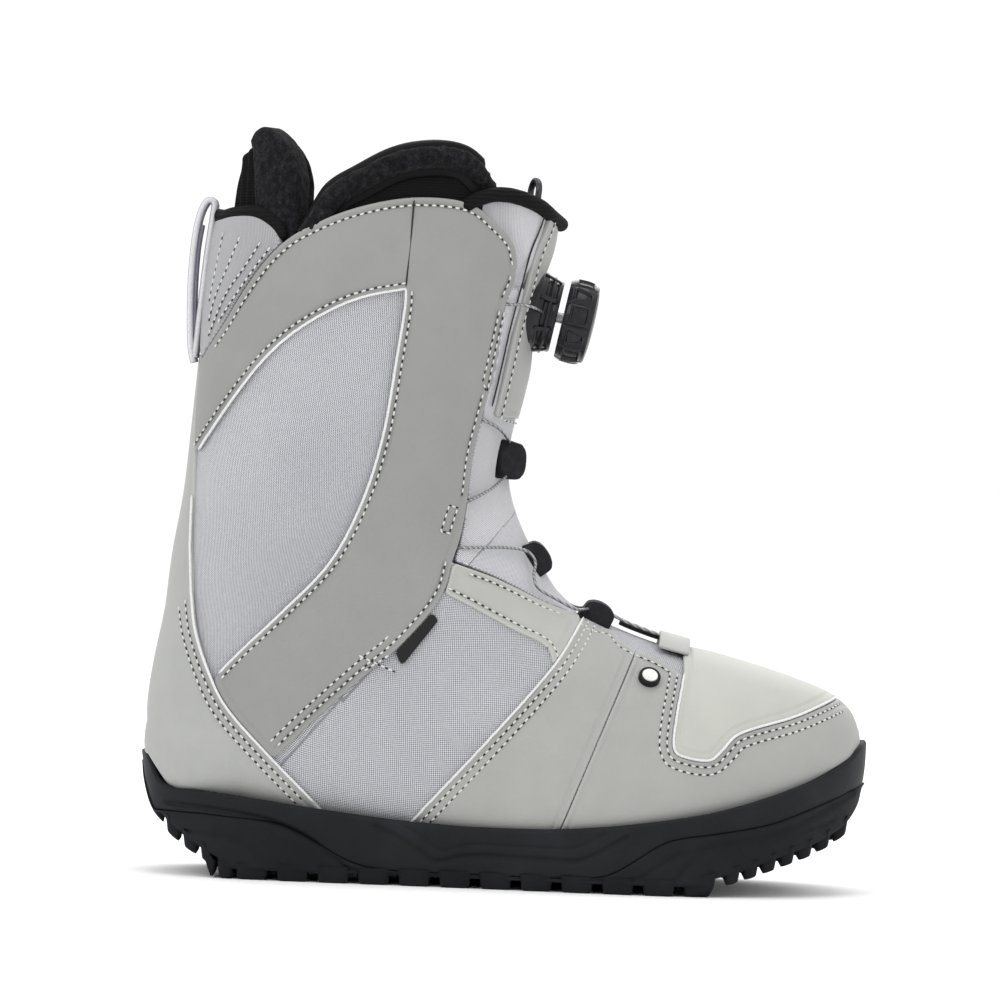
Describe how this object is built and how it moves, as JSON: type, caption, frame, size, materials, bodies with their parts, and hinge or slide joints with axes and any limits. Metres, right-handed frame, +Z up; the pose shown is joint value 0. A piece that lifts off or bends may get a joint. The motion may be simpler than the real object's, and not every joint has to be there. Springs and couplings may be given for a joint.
{
  "type": "snowboard boot",
  "caption": "Right snowboard boot with a lace dial on an opening tongue, overlaid textile upper, fleece-lined liner and lugged black sole.",
  "frame": {"origin": "centre of the boot's footprint on the ground", "axes": "+X from the heel to the toe, +Z up the leg, +Y to the inner (medial) side of this right boot"},
  "size_m": [0.29, 0.1152, 0.2972],
  "materials": {
    "synthetic_leather": "smooth grey synthetic leather, faint grain, satin",
    "textile": "pale lavender-white woven textile",
    "webbing": "pale woven tape",
    "black_textile": "black knit and fleece",
    "black_rubber": "matt black moulded rubber",
    "black_foam": "matt black moulded foam",
    "black_plastic": "satin black moulded plastic",
    "steel": "bright steel",
    "board": "pressed fibre board",
    "footbed_foam": "dark foam with a fabric face"
  },
  "bodies": {
    "boot": {"midsole": "black_foam", "outsole_heel": "black_rubber", "outsole_forefoot": "black_rubber", "lasting_board": "board", "footbed": "footbed_foam", "toe_box": "textile", "quarter_lateral": "textile", "quarter_medial": "textile", "collar_patch": "textile", "tongue_gusset_lateral": "textile", "tongue_gusset_medial": "textile", "heel_pull_loop": "webbing", "lace_sleeve_upper_lateral": "webbing", "lace_sleeve_upper_medial": "webbing", "lace_sleeve_lower_lateral": "webbing", "lace_sleeve_lower_medial": "webbing", "heel_counter": "synthetic_leather", "toe_overlay": "synthetic_leather", "vamp_panel": "synthetic_leather", "cuff_overlay_lateral": "synthetic_leather", "cuff_overlay_medial": "synthetic_leather", "instep_overlay_lateral": "synthetic_leather", "instep_overlay_medial": "synthetic_leather", "forefoot_overlay_lateral": "synthetic_leather", "forefoot_overlay_medial": "synthetic_leather", "label_tag": "black_textile", "collar_binding": "black_textile", "throat_strap": "black_textile", "toe_loop": "black_textile", "liner_base": "black_textile", "liner_toe": "black_textile", "liner_side_lateral": "black_textile", "liner_side_medial": "black_textile", "liner_cuff_lateral": "black_textile", "liner_cuff_medial": "black_textile", "liner_heel_collar": "black_textile", "badge_stud": "black_plastic", "guide_throat": "black_plastic", "lace": "steel"},
    "tongue": {"tongue_shell": "textile", "tongue_plate": "synthetic_leather", "tongue_binding": "black_textile", "dial_base": "black_plastic", "dial_axle": "steel", "guide_upper": "black_plastic", "guide_middle": "black_plastic"},
    "dial_spool": {"dial_spool": "black_plastic"},
    "dial_carrier": {"dial_carrier": "black_plastic"},
    "dial_knob": {"dial_knob": "black_plastic", "dial_grip": "black_rubber", "dial_drive_ring": "steel"},
    "liner_tongue": {"liner_tongue": "black_textile", "liner_cord_lock": "black_plastic"},
    "liner_pull": {"liner_pull_handle": "black_plastic", "liner_pull_cord": "black_textile"}
  },
  "joints": [
    {"name": "tongue_open", "type": "hinge", "parent": "boot", "child": "tongue", "pos_m": [0.0275, -0.00277, 0.11], "axis": [0, 1, 0], "range_deg": [0, 20], "deforming": ["tongue_gusset_lateral", "tongue_gusset_medial", "lace"]},
    {"name": "liner_tongue_open", "type": "hinge", "parent": "boot", "child": "liner_tongue", "pos_m": [0.0275, -0.00277, 0.11], "axis": [0, 1, 0], "range_deg": [0, 18]},
    {"name": "liner_pull_slide", "type": "slide", "parent": "liner_tongue", "child": "liner_pull", "axis": [0.0995, 0, 0.995], "range_m": [0, 0.025]},
    {"name": "spool_spin", "type": "hinge", "parent": "tongue", "child": "dial_spool", "pos_m": [0.0056, -0.00277, 0.2281], "axis": [0.9799, 0, -0.1994], "continuous": true},
    {"name": "knob_push", "type": "slide", "parent": "tongue", "child": "dial_carrier", "axis": [-0.9799, 0, 0.1994], "range_m": [0, 0.003]},
    {"name": "knob_spin", "type": "hinge", "parent": "dial_carrier", "child": "dial_knob", "pos_m": [0.0056, -0.00277, 0.2281], "axis": [0.9799, 0, -0.1994], "continuous": true}
  ],
  "couplings": [
    {"joint": "liner_tongue_open", "follows": "tongue_open", "ratio": 0.9},
    {"joint": "spool_spin", "follows": "knob_spin", "ratio": 1}
  ]
}
